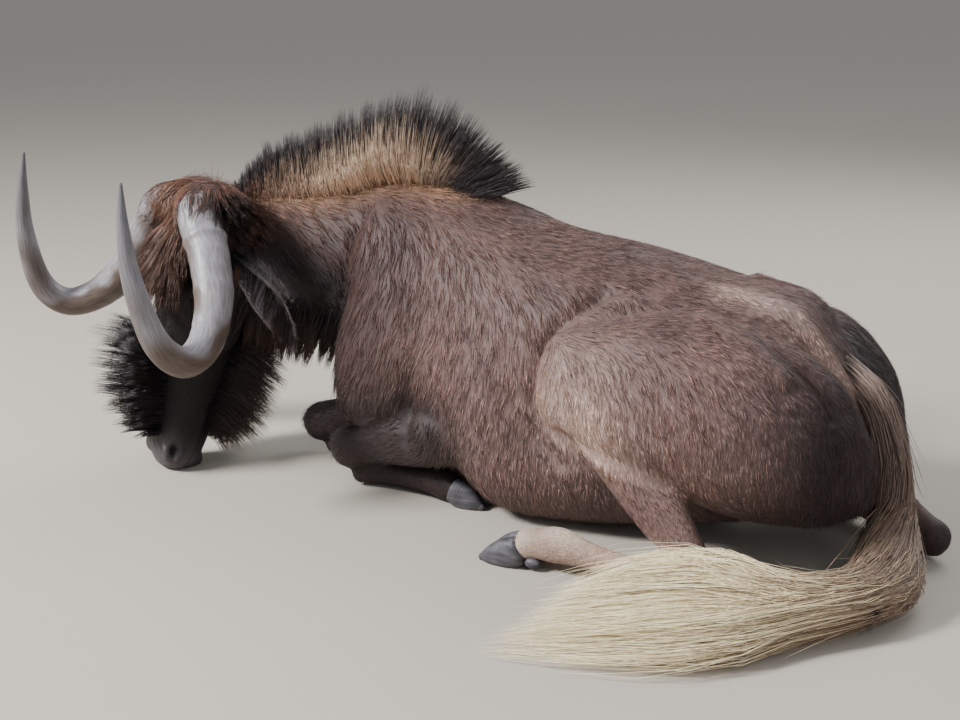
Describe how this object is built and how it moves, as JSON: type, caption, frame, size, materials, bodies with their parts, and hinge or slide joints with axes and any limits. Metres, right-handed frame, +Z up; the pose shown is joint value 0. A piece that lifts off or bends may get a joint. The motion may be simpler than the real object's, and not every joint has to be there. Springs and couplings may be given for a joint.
{
  "type": "black wildebeest",
  "caption": "Still, life-size black wildebeest bull lying on its chest with its head hanging to the ground, horns hooked forward, mane erect and tail swept along the floor.",
  "frame": {"origin": "middle of the model's footprint on the floor", "axes": "+X towards the tail, +Y the animal's right side, +Z up; the head is at -X and the face is turned towards -Y"},
  "size_m": [1.7762, 0.9542, 0.7298],
  "materials": {
    "coat": "short hair, dark grey-brown with warmer highlights",
    "dark_coat": "short black-brown hair with bristly black tufts",
    "mane_hair": "erect hair, cream-brown at the root and black at the tip",
    "tail_hair": "long blond hair",
    "horn": "ridged grey horn, darker towards the tip",
    "hoof": "dark blue-black horn",
    "eye": "wet dark eye"
  },
  "bodies": {
    "root": {"torso": "coat", "brisket": "dark_coat", "neck": "mane_hair", "head": "dark_coat", "lower_jaw": "dark_coat", "ear_left": "coat", "ear_right": "coat", "eye_left": "eye", "eye_right": "eye", "horn_left_base": "horn", "horn_left_tip": "horn", "horn_right_base": "horn", "horn_right_tip": "horn", "forearm_left": "coat", "forearm_right": "coat", "cannon_left": "coat", "cannon_right": "coat", "hoof_fore_left_outer": "hoof", "hoof_fore_left_inner": "hoof", "hoof_fore_right_outer": "hoof", "hoof_fore_right_inner": "hoof", "thigh_left": "coat", "thigh_right": "coat", "shank_left": "coat", "shank_right": "coat", "foot_hind_left": "coat", "foot_hind_right": "coat", "hoof_hind_left_outer": "hoof", "hoof_hind_left_inner": "hoof", "hoof_hind_right_outer": "hoof", "hoof_hind_right_inner": "hoof", "tail_dock": "coat", "tail_tuft": "tail_hair"}
  },
  "joints": []
}
